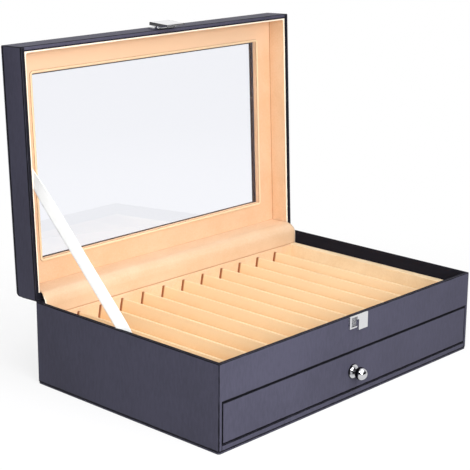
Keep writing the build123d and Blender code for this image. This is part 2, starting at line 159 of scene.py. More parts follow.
def pressed_grain():
    """Rounded cells about Size across with finer noise on them, over a slight unevenness.

    Height is 1 minus the distance to the nearest cell's middle, plus the finer noise and a
    slow one. Tone is a slow change of shade with short upright streaks in it.
    """
    group, given, made = node_group(
        "pressed grain",
        [("Size", "NodeSocketFloat", 0.0006)],
        [("Height", "NodeSocketFloat"), ("Tone", "NodeSocketFloat")])
    place = own_place(group)
    scale = calc(group, "DIVIDE", 1.0, given.outputs["Size"])
    cells = group.nodes.new("ShaderNodeTexVoronoi")
    cells.feature = "F1"
    group.links.new(place, cells.inputs["Vector"])
    group.links.new(scale, cells.inputs["Scale"])
    fine = noise(group, place, calc(group, "MULTIPLY", scale, 1.7), detail=3.0)
    domes = calc(group, "SUBTRACT", 1.0, cells.outputs["Distance"])
    waves_per_metre = 45.0
    wavy = noise(group, place, waves_per_metre, detail=1.0)
    height = calc(group, "ADD", calc(group, "MULTIPLY", domes, 0.6),
                  calc(group, "MULTIPLY", fine, 0.6))
    height = calc(group, "ADD", height, calc(group, "MULTIPLY", wavy, 2.5))
    group.links.new(height, made.inputs["Height"])
    streaks_per_metre = (520, 520, 150)
    stretched = group.nodes.new("ShaderNodeMapping")
    stretched.inputs["Scale"].default_value = streaks_per_metre
    group.links.new(place, stretched.inputs["Vector"])
    streaks = noise(group, stretched.outputs["Vector"], 1.0, detail=3.0)
    patches_per_metre = 14.0
    slow = noise(group, place, patches_per_metre, detail=4.0, roughness=0.6)
    tone = calc(group, "ADD", calc(group, "MULTIPLY", slow, 0.55),
                calc(group, "MULTIPLY", streaks, 0.45))
    group.links.new(ramp(group, tone, 0.34, 0.66), made.inputs["Tone"])
    return group


def edge_shade_mask():
    """Where a point lies in a box of the given half sizes, centred on 0.

    Edge is 1 along the box's edges and 0 more than about Width from them: a point's distance
    to the nearest edge is the middle one of its three distances to the box's faces. Inside
    goes from 0 to 1 as the smallest of the distances, with Ignored added, passes Skin.
    """
    group, given, made = node_group(
        "edge shade mask",
        [("Point", "NodeSocketVector", (0, 0, 0)), ("Half", "NodeSocketVector", (1, 1, 1)),
         ("Ignored", "NodeSocketVector", (0, 0, 0)), ("Width", "NodeSocketFloat", 0.001),
         ("Skin", "NodeSocketFloat", 0.0016)],
        [("Edge", "NodeSocketFloat"), ("Inside", "NodeSocketFloat")])

    def vector(operation, *values):
        node = group.nodes.new("ShaderNodeVectorMath")
        node.operation = operation
        for place, value in enumerate(values):
            group.links.new(value, node.inputs[place])
        return node.outputs[0]

    def parts(value):
        split = group.nodes.new("ShaderNodeSeparateXYZ")
        group.links.new(value, split.inputs[0])
        return split.outputs

    inward = vector("SUBTRACT", given.outputs["Half"], vector("ABSOLUTE", given.outputs["Point"]))
    first, second, third = parts(inward)
    larger = calc(group, "MINIMUM", calc(group, "MAXIMUM", first, second), third)
    middle = calc(group, "MAXIMUM", calc(group, "MINIMUM", first, second), larger)
    # Noise makes the dark edge band uneven; the band is partly seam and partly painted shade.
    edge_wobble_per_metre = 90.0
    uneven = noise(group, given.outputs["Point"], edge_wobble_per_metre, detail=3.0)
    reach = calc(group, "MULTIPLY", given.outputs["Width"], calc(group, "ADD", uneven, 0.5))
    solid = calc(group, "MULTIPLY", reach, 0.6)
    group.links.new(ramp(group, middle, solid, reach, 1.0, 0.0), made.inputs["Edge"])
    first, second, third = parts(vector("ADD", inward, given.outputs["Ignored"]))
    least = calc(group, "MINIMUM", calc(group, "MINIMUM", first, second), third)
    deep = calc(group, "MULTIPLY", given.outputs["Skin"], 1.5)
    group.links.new(ramp(group, least, given.outputs["Skin"], deep), made.inputs["Inside"])
    return group


grain_group = pressed_grain()
edge_group = edge_shade_mask()
slate = srgb(74, 73, 89)


def leatherette(name, box, tilt=0.0, pivot=Vector((0, 0, 0)), ignored=(0, 0, 1), skin=0.0008,
                edge=0.001):
    """Slate-grey wrap of boards that together fill a box, (low, high).

    The box is square to the axes once the boards are turned by -tilt about the pivot. The
    wrap is painted dark wherever it lies more than skin inside the box, as painted shade on a
    wall's inner side. ignored is a 1 or 0 for each of X, Y and Z, and a 1 leaves out the faces
    across that axis. edge is how far the dark edges reach: partly seams, partly painted shade.
    """
    material, tree, shader = new_material(name)
    low, high = (Vector(corner) for corner in box)
    turn = Matrix.Rotation(-tilt, 3, "X")
    mapping = tree.nodes.new("ShaderNodeMapping")
    mapping.inputs["Rotation"].default_value = (-tilt, 0, 0)
    mapping.inputs["Location"].default_value = pivot - turn @ pivot - (low + high) / 2
    tree.links.new(own_place(tree), mapping.inputs["Vector"])

    grain = tree.nodes.new("ShaderNodeGroup")
    grain.node_tree = grain_group
    edges = tree.nodes.new("ShaderNodeGroup")
    edges.node_tree = edge_group
    tree.links.new(mapping.outputs["Vector"], edges.inputs["Point"])
    edges.inputs["Half"].default_value = (high - low) / 2
    edges.inputs["Ignored"].default_value = ignored
    edges.inputs["Width"].default_value = edge
    edges.inputs["Skin"].default_value = skin

    # The dark edge colour is partly the seams and partly painted shade in the gaps between parts;
    # the near-black inside colour is painted shade on the boards' inner sides.
    darker, lighter, turned, inside_shade = (
        [channel * share for channel in slate[:3]] + [1.0] for share in (0.88, 1.12, 0.08, 0.16))
    body = tint(tree, grain.outputs["Tone"], darker, lighter)
    body = tint(tree, edges.outputs["Edge"], body, turned)
    body = tint(tree, edges.outputs["Inside"], body, inside_shade)
    tree.links.new(body, shader.inputs["Base Color"])
    outer_rough = ramp(tree, grain.outputs["Tone"], 0.0, 1.0, 0.46, 0.56)
    inner_rough = calc(tree, "MULTIPLY", edges.outputs["Inside"], 0.9)
    rough = calc(tree, "MAXIMUM", outer_rough, inner_rough)
    tree.links.new(rough, shader.inputs["Roughness"])
    shader.inputs["Specular IOR Level"].default_value = 0.1
    grain_depth = 0.00006
    add_bump(tree, shader, grain.outputs["Height"], grain_depth)
    return material


base_low, base_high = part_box("base_board")
side_low, side_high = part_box("right_side")
walls = (Vector((base_low.x, base_low.y, side_low.z)), side_high)
fascia_low, fascia_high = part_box("front_fascia")
fascia = (Vector((base_low.x, fascia_low.y, fascia_low.z)), Vector(side_high))
dress(leatherette("wall leatherette", walls), "left_side", "right_side", "back_panel")
dress(leatherette("fascia leatherette", fascia, edge=0.0008), "front_fascia")
dress(leatherette("base leatherette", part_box("base_board"), edge=0.0008), "base_board")
dress(leatherette("bay floor leatherette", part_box("bay_floor"), ignored=(1, 0, 1), edge=0.0008),
      "bay_floor")


# --- Plain boards inside the chest --------------------------------------------------------------
# The shelf under the tray and the strip that backs the hinge are the same board, covered
# only in a dark paper, because nothing of them shows when the chest is used.

def paper_board():
    """Dark uncoated paper with a faint fibre."""
    material, tree, shader = new_material("dark paper")
    fibres_per_metre = 900.0
    fibre = noise(tree, own_place(tree), fibres_per_metre, detail=4.0, roughness=0.7)
    tree.links.new(tint(tree, fibre, srgb(40, 38, 42), srgb(58, 56, 60)),
                   shader.inputs["Base Color"])
    shader.inputs["Roughness"].default_value = 0.85
    shader.inputs["Specular IOR Level"].default_value = 0.2
    fibre_depth = 0.00004
    add_bump(tree, shader, fibre, fibre_depth)
    return material


dress(paper_board(), "shelf", "hinge_batten")


# --- Lined tray ---------------------------------------------------------------------------------
# The tray is a shallow box of card with a floor, four walls and eleven loose-fitting
# dividers, all covered in a warm cream suede cloth that rolls softly over their tops.

def suede_nap():
    """A short brushed nap: Height is the pile, and Tone is how the pile lies from patch to patch."""
    group, given, made = node_group(
        "suede nap",
        [("Pile", "NodeSocketFloat", 0.0003)],
        [("Height", "NodeSocketFloat"), ("Tone", "NodeSocketFloat")])
    place = own_place(group)
    scale = calc(group, "DIVIDE", 1.0, given.outputs["Pile"])
    pile = noise(group, place, scale, detail=3.0, roughness=0.65)
    group.links.new(pile, made.inputs["Height"])
    patches_per_metre = 34.0
    flecks_per_metre = 650.0
    brushed = noise(group, place, patches_per_metre, detail=5.0, roughness=0.62)
    fleck = noise(group, place, flecks_per_metre, detail=2.0)
    tone = calc(group, "ADD", calc(group, "MULTIPLY", brushed, 0.65),
                calc(group, "MULTIPLY", fleck, 0.35))
    group.links.new(ramp(group, tone, 0.32, 0.68), made.inputs["Tone"])
    return group


nap_group = suede_nap()


def suede(name, colour, gloss=0.15, bands=(), tilt=0.0, pivot=Vector((0, 0, 0))):
    """Suede cloth of one colour, a little lighter and darker as its nap lies.

    gloss is higher where the cloth is pulled tight, and it is smoother there too. Each of
    bands is (axis, start, end, colour): along X, Y or Z the cloth goes over to that colour
    from start to end. A lid's bands are measured with it turned by -tilt about the pivot.
    """
    material, tree, shader = new_material(name)
    nap = tree.nodes.new("ShaderNodeGroup")
    nap.node_tree = nap_group
    deep = (colour[0] * 0.95, colour[1] * 0.92, colour[2] * 0.88, 1.0)
    pale = (min(1, colour[0] * 1.03), colour[1] * 1.06, colour[2] * 1.10, 1.0)
    shade = tint(tree, nap.outputs["Tone"], deep, pale)
    mapping = tree.nodes.new("ShaderNodeMapping")
    mapping.inputs["Rotation"].default_value = (-tilt, 0, 0)
    mapping.inputs["Location"].default_value = pivot - Matrix.Rotation(-tilt, 3, "X") @ pivot
    tree.links.new(own_place(tree), mapping.inputs["Vector"])
    split = tree.nodes.new("ShaderNodeSeparateXYZ")
    tree.links.new(mapping.outputs["Vector"], split.inputs[0])
    for axis, start, end, band in bands:
        shade = tint(tree, ramp(tree, split.outputs[axis], start, end), shade, band)
    tree.links.new(shade, shader.inputs["Base Color"])
    shader.inputs["Roughness"].default_value = 0.98 - 0.9 * gloss
    shader.inputs["Specular IOR Level"].default_value = gloss
    shader.inputs["Sheen Weight"].default_value = 0.18
    shader.inputs["Sheen Roughness"].default_value = 0.45
    shader.inputs["Sheen Tint"].default_value = srgb(255, 240, 220)
    pile_depth = 0.00008
    add_bump(tree, shader, nap.outputs["Height"], pile_depth)
    return material


cream = srgb(236, 211, 174)
apricot = srgb(228, 192, 156)
numbers = [f"{number:02d}" for number in range(1, 12)]
dress(suede("tray suede", cream), "tray_floor", "tray_left_wall", "tray_right_wall",
      "tray_front_wall")
dress(suede("tray back suede", apricot), "tray_rear_wall")
# The dividers are painted paler towards their crests, a painted highlight from the light above, and
# painted dark at their rear ends, painted shade in the gap at the tray's rear wall.
divider_foot = srgb(234, 197, 152)
divider_painted_light = srgb(237, 208, 168)
divider_end_shade = srgb(142, 86, 52)
dark_length = 0.0021    # of a divider's rear end, in shade before the tray's rear wall
back_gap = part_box("tray_rear_wall")[0].y - dark_length
divider_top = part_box("tray_divider_01")[1].z
dress(suede("divider suede", divider_foot,
            bands=[("Z", divider_top - 0.013, divider_top - 0.002, divider_painted_light),
                   ("Y", back_gap - 0.0016, back_gap + 0.0004, divider_end_shade)]),
      *[f"tray_divider_{number}" for number in numbers])


# --- Drawer -------------------------------------------------------------------------------------
# The drawer is a lined card box with eleven low dividers, glued to a thicker front that is
# wrapped in the same leatherette as the chest.

dress(leatherette("drawer leatherette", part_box("drawer_front"), ignored=(1, 0, 1), skin=0.0005,
                  edge=0.0007), "drawer_front")
dress(suede("drawer suede", cream), "drawer_floor", "drawer_left_side", "drawer_right_side",
      "drawer_back", *[f"drawer_divider_{number}" for number in numbers])


# --- Knob ---------------------------------------------------------------------------------------
# The knob is a turned ball on a short neck, over a stepped round plate. Both are chromed
# zinc, and one screw from inside the drawer holds them to its front.

def polished(name, colour, roughness, smudge):
    """Bright plated metal with faint smudges, where noise adds up to smudge to its roughness."""
    material, tree, shader = new_material(name)
    place = own_place(tree)
    smudges_per_metre = 240.0
    ripples_per_metre = 1400.0
    ripple_depth = 0.000004
    marks = noise(tree, place, smudges_per_metre, detail=4.0, roughness=0.7)
    shader.inputs["Base Color"].default_value = colour
    shader.inputs["Metallic"].default_value = 1.0
    tree.links.new(ramp(tree, marks, 0.35, 0.75, roughness, roughness + smudge),
                   shader.inputs["Roughness"])
    add_bump(tree, shader, noise(tree, place, ripples_per_metre, detail=2.0), ripple_depth)
    return material


plated = srgb(212, 212, 215)
painted_shade_and_reflection = srgb(30, 30, 34)


def turned_chrome(name, axis, behind, rim):
    """Chrome painted dark where it faces the drawer or turns over its rim.

    It is painted dark along Y over the range behind, a painted reflection of the dark drawer
    front, and outwards from the knob's axis, (x, z), over the range rim, a painted dark
    reflection and shade at the rim.
    """
    material = polished(name, plated, 0.06, 0.10)
    tree = material.node_tree
    split = tree.nodes.new("ShaderNodeSeparateXYZ")
    tree.links.new(own_place(tree), split.inputs[0])
    from_x = calc(tree, "SUBTRACT", split.outputs["X"], axis[0])
    from_z = calc(tree, "SUBTRACT", split.outputs["Z"], axis[1])
    outwards = calc(tree, "SQRT", calc(tree, "ADD", calc(tree, "MULTIPLY", from_x, from_x),
                                       calc(tree, "MULTIPLY", from_z, from_z)))
    dark = calc(tree, "MAXIMUM", ramp(tree, split.outputs["Y"], *behind),
                ramp(tree, outwards, *rim))
    tree.links.new(tint(tree, dark, plated, painted_shade_and_reflection),
                   tree.nodes["Principled BSDF"].inputs["Base Color"])
    return material


chrome = polished("chrome", plated, 0.06, 0.10)
zinc = srgb(176, 177, 180)
steel = polished("zinc-plated steel", zinc, 0.28, 0.15)
ball_low, ball_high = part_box("knob_ball")
rose_low, rose_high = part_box("knob_rose")
knob_axis = ((rose_low.x + rose_high.x) / 2, (rose_low.z + rose_high.z) / 2)
rose_radius = rose_high.x - knob_axis[0]
ball_radius = (ball_high.z - ball_low.z) / 2
ball_middle = ball_low.y + ball_radius
past_ball = (ball_radius + 0.001, ball_radius + 0.002)
past_rose = (rose_high.y + 0.001, rose_high.y + 0.002)
# The ball is painted dark on its drawer side and the rose at its rim: painted reflection and shade.
dress(turned_chrome("ball chrome", knob_axis, (ball_middle - 0.0022, ball_middle - 0.0002),
                    past_ball), "knob_ball")
dress(turned_chrome("rose chrome", knob_axis, past_rose,
                    (rose_radius - 0.0006, rose_radius - 0.0003)), "knob_rose")
dress(steel, "knob_screw")


# --- Lid boards ---------------------------------------------------------------------------------
# Four wrapped walls carry a thin wrapped board with the window in it. The open lid leans
# back by its hinge's full range, so its own square frame is found by turning it shut.

hinge = next(joint for joint in frame["joints"] if joint["name"] == "lid_hinge")
hinge_at = Vector(hinge["pos_m"])
open_angle = math.radians(hinge["range_deg"][1])


def open_lid(reach, depth):
    """(y, z) on the open lid, from the distance along it and the distance past its hinge line."""
    y = hinge_at.y - reach * math.cos(open_angle) + depth * math.sin(open_angle)
    z = hinge_at.z + reach * math.sin(open_angle) + depth * math.cos(open_angle)
    return y, z


rim_gap = 0.0003
frame_depth = 0.0242    # where the walls end and the window's board begins
lid_depth = 0.0268
half_width = base_high.x
lid_shut = Vector((0, hinge_at.y, hinge_at.z + rim_gap))
chest_depth = base_high.y - base_low.y
lid_walls = (lid_shut + Vector((-half_width, -chest_depth, 0)),
             lid_shut + Vector((half_width, 0, frame_depth)))
lid_board = (lid_shut + Vector((-half_width, -chest_depth, frame_depth)),
             lid_shut + Vector((half_width, 0, lid_depth)))
dress(leatherette("lid leatherette", lid_walls, -open_angle, hinge_at),
      "lid_left_wall", "lid_right_wall", "lid_rear_wall")
# The front wall's painted inner shade begins deeper in, so its rim shows more of its grey
# wrap than the other walls' rims do.
dress(leatherette("lid front leatherette", lid_walls, -open_angle, hinge_at, skin=0.0024,
                  edge=0.0006), "lid_front_wall")
dress(leatherette("window leatherette", lid_board, -open_angle, hinge_at, ignored=(0, 0, 0),
                  skin=0.0003), "window_frame")


# --- Window glass -------------------------------------------------------------------------------
# A pane of thin float glass lies in a rebate of the window board. Light passes through it
# without a dark shadow.

def clear_glass():
    """Clear glass with the faint blue of a thin pane."""
    material, tree, shader = new_material("window glass")
    shader.inputs["Base Color"].default_value = srgb(246, 247, 252)
    shader.inputs["Roughness"].default_value = 0.0
    shader.inputs["IOR"].default_value = 1.46
    shader.inputs["Specular IOR Level"].default_value = 0.3
    shader.inputs["Transmission Weight"].default_value = 1.0
    rays = tree.nodes.new("ShaderNodeLightPath")
    through = tree.nodes.new("ShaderNodeBsdfTransparent")
    mix = tree.nodes.new("ShaderNodeMixShader")
    tree.links.new(rays.outputs["Is Shadow Ray"], mix.inputs["Fac"])
    tree.links.new(shader.outputs["BSDF"], mix.inputs[1])
    tree.links.new(through.outputs["BSDF"], mix.inputs[2])
    tree.links.new(mix.outputs["Shader"], tree.nodes["Material Output"].inputs["Surface"])
    return material


dress(clear_glass(), "glass_pane")


# --- Lid lining ---------------------------------------------------------------------------------
# Inside the lid, a suede-covered frame hides the edge of the glass, and strips of the same
# cloth over card line the walls up to the rim.

# A pale colour for edges that catch the light: a painted highlight.
painted_highlight = srgb(255, 238, 218)
lid_rim = hinge_at.z
# The inner frame is painted paler towards the lid's top, painted light, and the lining is painted
# brown where it meets the frame, painted shade in the corner.
frame_apricot = srgb(226, 185, 149)
frame_painted_light = srgb(238, 202, 168)
corner_shade = srgb(168, 114, 74)
lid_top_reach = 0.205
lid_top = hinge_at.y - lid_top_reach
inner_frame_depth = 0.0203
frame_corner = lid_rim + inner_frame_depth
dress(suede("frame suede", frame_apricot, tilt=-open_angle, pivot=hinge_at,
            bands=[("Y", lid_top + 0.03, lid_top, frame_painted_light)]), "inner_frame")
dress(suede("lid edge suede", apricot, tilt=-open_angle, pivot=hinge_at,
            bands=[("Z", lid_rim + 0.0012, lid_rim + 0.0007, painted_highlight),
                   ("Z", frame_corner - 0.0011, frame_corner, corner_shade)]), "lid_lining")


# --- Window bead --------------------------------------------------------------------------------
# The suede is turned over a thin cord round the window and glued behind, which leaves a
# narrow half-round bead with a groove beside it.

def surface(name, grid, close_rows=False, close_columns=False):
    """A mesh of quads between the points of a grid of rows and columns.

    Point (row, column) joins its right and lower neighbours. With close_rows, the last row
    joins the first, and with close_columns the last column does.
    """
    rows, columns = grid.shape[:2]
    index = np.arange(rows * columns).reshape(rows, columns)
    if close_rows:
        index = np.vstack([index, index[:1]])
    if close_columns:
        index = np.hstack([index, index[:, :1]])
    corners = [index[:-1, :-1], index[:-1, 1:], index[1:, 1:], index[1:, :-1]]
    quads = np.stack(corners, axis=-1).reshape(-1, 4)
    mesh = bpy.data.meshes.new(name)
    mesh.from_pydata(grid.reshape(-1, 3).tolist(), [], quads.tolist())
    mesh.polygons.foreach_set("use_smooth", np.ones(len(quads), bool))
    mesh.update()
    piece = bpy.data.objects.new(name, mesh)
    bpy.context.scene.collection.objects.link(piece)
    return piece


def rounded_rectangle(half_x, half_y, radius, steps):
    """Points and outward directions round a rectangle centred on 0, with rounded corners.

    A point lies radius along its direction from the centre of its corner's circle. The
    last of one corner and the first of the next are the two ends of a straight side.
    """
    corner = np.arange(4 * steps) // steps
    turn = (corner + np.tile(np.linspace(0, 1, steps), 4)) * np.pi / 2
    outward = np.stack([np.cos(turn), np.sin(turn)], axis=-1)
    quarter = (corner + 0.5) * np.pi / 2
    side = np.sign(np.stack([np.cos(quarter), np.sin(quarter)], axis=-1))
    return side * (np.array([half_x, half_y]) - radius) + radius * outward, outward


bead_half_width = 0.0013
bead_height = 0.0008
bead_sunk = 0.0003
bead_corner = 0.0025
window_half = 0.1436
window_reach = (0.0298, 0.1952)

# The bead is a flattened circle, half buried, carried round the window's rounded rectangle:
# each point is the rectangle's, moved outward by half the width times the cosine and
# towards the viewer by the height, or below the frame by the buried depth, times the sine.
line, outward = rounded_rectangle(
    window_half + bead_half_width, (window_reach[1] - window_reach[0]) / 2 + bead_half_width,
    bead_corner, 8)
line[:, 1] += sum(window_reach) / 2
round_bead = np.linspace(0, 2 * np.pi, 17)[:-1]
bead_across = bead_half_width * np.cos(round_bead)
bead_rise = np.where(np.sin(round_bead) > 0, bead_height, bead_sunk) * np.sin(round_bead)
bead_line = line[:, None, :] + outward[:, None, :] * bead_across[None, :, None]
bead_y, bead_z = open_lid(bead_line[..., 1], inner_frame_depth - bead_rise[None, :])
window_bead = surface("window_bead", np.stack([bead_line[..., 0], bead_y, bead_z], axis=-1),
                      close_rows=True, close_columns=True)
# The bead's crest is painted pale cream, a painted highlight, and the groove beside it is painted
# dark brown, painted shade.
shadowed = srgb(122, 70, 40)
groove = frame_corner - 0.0003
window_bead.data.materials.append(
    suede("bead suede", apricot, tilt=-open_angle, pivot=hinge_at,
          bands=[("Z", groove - 0.0002, groove - 0.0004, cream),
                 ("Z", groove - 0.0001, groove + 0.0001, shadowed)]))
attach(window_bead, "lid")


# --- Catch --------------------------------------------------------------------------------------
# The lid carries a small plate with a hinged, sprung lever, and the chest's front a
# striker. All are pressed sheet with a chrome finish.

# The striker's and the lever's chrome is painted brighter than the knob's, as painted light.
plate_painted_light = srgb(232, 232, 234)
cover_painted_light = srgb(236, 236, 238)


def stamped_plate(face, depth):
    """Chrome whose sunk parts, from depth behind the plate's face, are painted grey as painted
    shade in the pocket, and stippled.
    """
    material = polished("stamped chrome", plated, 0.06, 0.10)
    tree = material.node_tree
    shader = tree.nodes["Principled BSDF"]
    place = own_place(tree)
    split = tree.nodes.new("ShaderNodeSeparateXYZ")
    tree.links.new(place, split.inputs[0])
    sunk = ramp(tree, split.outputs["Y"], face + depth, face + depth + 0.0002)
    dots_per_metre = 1500.0
    stipple = ramp(tree, noise(tree, place, dots_per_metre, detail=2.0), 0.42, 0.58)
    grey = tint(tree, stipple, srgb(84, 84, 90), srgb(196, 196, 200))
    tree.links.new(tint(tree, sunk, plate_painted_light, grey), shader.inputs["Base Color"])
    rough = ramp(tree, sunk, 0.0, 1.0, 0.10, 0.45)
    tree.links.new(rough, shader.inputs["Roughness"])
    return material


def outlined_chrome(name, box, tilt, edge):
    """Chrome painted dark within edge of the edges of a box tilted about X, as painted shade
    and reflection along the lever's bent edges.
    """
    material = polished(name, plated, 0.06, 0.10)
    tree = material.node_tree
    low, high = box
    middle = (low + high) / 2
    mapping = tree.nodes.new("ShaderNodeMapping")
    mapping.inputs["Rotation"].default_value = (-tilt, 0, 0)
    mapping.inputs["Location"].default_value = -(Matrix.Rotation(-tilt, 3, "X") @ middle)
    tree.links.new(own_place(tree), mapping.inputs["Vector"])
    edges = tree.nodes.new("ShaderNodeGroup")
    edges.node_tree = edge_group
    tree.links.new(mapping.outputs["Vector"], edges.inputs["Point"])
    edges.inputs["Half"].default_value = (high - low) / 2
    edges.inputs["Width"].default_value = edge
    tree.links.new(tint(tree, edges.outputs["Edge"], cover_painted_light, painted_shade_and_reflection),
                   tree.nodes["Principled BSDF"].inputs["Base Color"])
    return material


dress(stamped_plate(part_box("striker_plate")[0].y, depth=0.0007), "striker_plate")
dress(outlined_chrome("lever chrome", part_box("latch_lever"), math.pi / 2 - open_angle, 0.0006),
      "latch_lever")
dress(chrome, "latch_base", "latch_pin")
dress(steel, "latch_spring", "latch_screws")


# --- Hinge cloth --------------------------------------------------------------------------------
# A strip of the suede, backed with thin felt, comes up behind the tray, rolls over the
# hinge and is glued flat inside the lid's back wall.

def sheet_coordinates(piece, across, along):
    """Writes a UV map in metres for a surface() grid: U across its columns, V along its rows."""
    mesh = piece.data
    places = np.stack(np.broadcast_arrays(across, along), axis=-1).reshape(-1, 2)
    corners = np.empty(len(mesh.loops), np.int64)
    mesh.loops.foreach_get("vertex_index", corners)
    layer = mesh.uv_layers.new(name="cloth")
    layer.data.foreach_set("uv", places[corners].astype(np.float32).ravel())


def thicken(piece, thickness, offset):
    """Gives a surface an even thickness and keeps the result as the piece's own mesh."""
    wall = piece.modifiers.new("thickness", "SOLIDIFY")
    wall.thickness = thickness
    wall.offset = offset
    wall.use_even_offset = True
    shaped = piece.evaluated_get(bpy.context.evaluated_depsgraph_get())
    mesh = bpy.data.meshes.new_from_object(shaped)
    piece.modifiers.clear()
    piece.data = mesh


def rounded_line(points, radius, steps):
    """Points along a three-point line whose corner is an arc: straight, arc of steps, straight."""
    start, corner, end = (np.array(point, float) for point in points)
    back = (start - corner) / np.linalg.norm(start - corner)
    ahead = (end - corner) / np.linalg.norm(end - corner)
    half_turn = np.arccos(np.clip(back @ ahead, -1, 1)) / 2
    reach = radius / np.tan(half_turn)
    centre = corner + (back + ahead) / np.linalg.norm(back + ahead) * radius / np.sin(half_turn)
    first = corner + back * reach
    last = corner + ahead * reach
    angle = np.linspace(0, 1, steps)[:, None]
    sweep = np.pi - 2 * half_turn
    arc = centre + ((first - centre) * np.sin((1 - angle) * sweep)
                    + (last - centre) * np.sin(angle * sweep)) / np.sin(sweep)
    straight = np.linspace(0, 1, steps // 2)[1:-1, None]
    return np.vstack([start, start + (first - start) * straight, arc,
                      last + (end - last) * straight, end])


cloth_low, cloth_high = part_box("hinge_cloth")
batten_low, batten_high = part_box("hinge_batten")
rear_wall_reach = 0.0068
cloth_thickness = 0.001
cloth_gap = 0.00025
cloth_bend = 0.011
cloth_reach = rear_wall_reach + cloth_gap + cloth_thickness
cloth_y = batten_low.y - cloth_thickness
cloth_end = open_lid(cloth_reach, inner_frame_depth - cloth_gap)
cloth_turn = (cloth_y, open_lid(cloth_reach, cloth_y - hinge_at.y)[1])

# Seen from the end, the cloth goes straight up, round an arc of cloth_bend and straight on
# into the lid. This line is carried along the hinge, 1.6 % wider at the chest than in the
# lid. In the bend, a sine across and along it lifts the cloth in shallow creases.
profile = rounded_line([(cloth_y, cloth_low.z), cloth_turn, cloth_end], cloth_bend, 40)
along_cloth = np.concatenate([[0], np.cumsum(np.linalg.norm(np.diff(profile, axis=0), axis=1))])
across_cloth = np.linspace(cloth_low.x, cloth_high.x, 181)
cloth_grid = np.empty((len(profile), len(across_cloth), 3))
wider_at_chest = 0.016
into_lid = np.clip((profile[:, :1] - cloth_y) / cloth_bend, 0, 1)
cloth_flare = 1 + wider_at_chest * (1 - into_lid ** 2 * (3 - 2 * into_lid))
cloth_grid[..., 0] = across_cloth * cloth_flare
cloth_grid[..., 1] = profile[:, :1]
cloth_grid[..., 2] = profile[:, 1:]
normal = np.gradient(profile, axis=0)[:, ::-1] * [-1, 1]
normal /= np.linalg.norm(normal, axis=1)[:, None]
crease_height = 0.00022
swell_height = 0.00018
creased_length = 0.009
wander = 5 * np.sin(across_cloth * 17) * 0.3
creases = crease_height * np.sin(along_cloth[:, None] * 900 + wander)
slow_swell = swell_height * np.sin(across_cloth * 61 + 1.3) * np.sin(across_cloth * 23)
in_bend = np.exp(-((along_cloth - along_cloth[-1] * 0.5) / creased_length) ** 2)[:, None]
lift = (creases * 0.5 + slow_swell) * in_bend
cloth_grid[..., 1] += lift * normal[:, :1]
cloth_grid[..., 2] += lift * normal[:, 1:]
hinge_cloth = surface("hinge_cloth_sheet", cloth_grid)
sheet_coordinates(hinge_cloth, across_cloth[None, :], along_cloth[:, None])
thicken(hinge_cloth, cloth_thickness, -1.0)
cloth_half = float(cloth_grid[..., 0].max())
tray_rear_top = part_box("tray_rear_wall")[1].z
# The cloth is painted brown at its foot, painted shade where it goes down behind the tray, and
# painted pale at both ends, a painted highlight where its edges catch the light.
cloth_colour = srgb(222, 188, 154)
foot_shade = srgb(196, 152, 116)
hinge_cloth.data.materials.append(
    suede("hinge suede", cloth_colour, gloss=0.62,
          bands=[("Z", tray_rear_top + 0.0012, tray_rear_top + 0.0002, foot_shade),
                 ("X", cloth_half - 0.0012, cloth_half - 0.0004, painted_highlight),
                 ("X", 0.0012 - cloth_half, 0.0004 - cloth_half, painted_highlight)]))
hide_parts("hinge_cloth")
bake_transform(hinge_cloth)


# --- Hinge leather ------------------------------------------------------------------------------
# Outside, a strip of the leatherette is glued to the chest's back and to the lid's rear
# wall, and it is what the lid turns on.

leather_low, leather_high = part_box("hinge_leather")
leather_thickness = 0.0006
leather_bend = 0.0009
leather_reach = 0.020
leather_turn = (hinge_at.y, hinge_at.z - cloth_gap)

# Seen from the end, the strip goes straight up, round a small arc and along the lid's back.
# This line is carried straight along the hinge. The thickness goes inwards from it, so on
# the chest the strip is sunk in the board, flush with its back, and on the lid half sunk.
leather_line = rounded_line([(hinge_at.y, leather_low.z), leather_turn,
                             open_lid(-cloth_gap, leather_reach)], leather_bend, 12)
along_leather = np.concatenate(
    [[0], np.cumsum(np.linalg.norm(np.diff(leather_line, axis=0), axis=1))])
across_leather = np.linspace(leather_low.x, leather_high.x, 41)
leather_grid = np.empty((len(leather_line), len(across_leather), 3))
leather_grid[..., 0] = across_leather
leather_grid[..., 1] = leather_line[:, :1]
leather_grid[..., 2] = leather_line[:, 1:]
hinge_leather = surface("hinge_leather_strip", leather_grid)
sheet_coordinates(hinge_leather, across_leather[None, :], along_leather[:, None])
thicken(hinge_leather, leather_thickness, 1.0)
hinge_leather.data.materials.append(
    leatherette("hinge leatherette", (leather_low, leather_high), skin=0.1))
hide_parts("hinge_leather")
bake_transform(hinge_leather)


# --- Ribbon stay --------------------------------------------------------------------------------
# A white satin ribbon with woven edges is glued to the chest's left wall and to the lid's
# left lining. Pulled tight, it holds the open lid, with a slight twist between its ends.

ribbon_width = 0.0115
ribbon_thickness = 0.0004
ribbon_low_y = -0.009
ribbon_low_above_tray = 0.002
ribbon_high = (0.117, 0.009)
ribbon_gap = 0.0003
lining_thickness = 0.0015
tray_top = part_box("tray_left_wall")[1].z
ribbon_start = np.array([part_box("ribbon_stay")[0].x + ribbon_thickness / 2, ribbon_low_y,
                         tray_top + ribbon_low_above_tray])
lining_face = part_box("lid_left_wall")[1].x + lining_thickness
ribbon_end = np.array([lining_face + ribbon_gap + ribbon_thickness / 2, *open_lid(*ribbon_high)])
ribbon_run = ribbon_end - ribbon_start
ribbon_length = float(np.linalg.norm(ribbon_run))
ribbon_way = ribbon_run / ribbon_length
ribbon_face = np.array([1, 0, 0]) - ribbon_way * ribbon_way[0]
ribbon_face /= np.linalg.norm(ribbon_face)

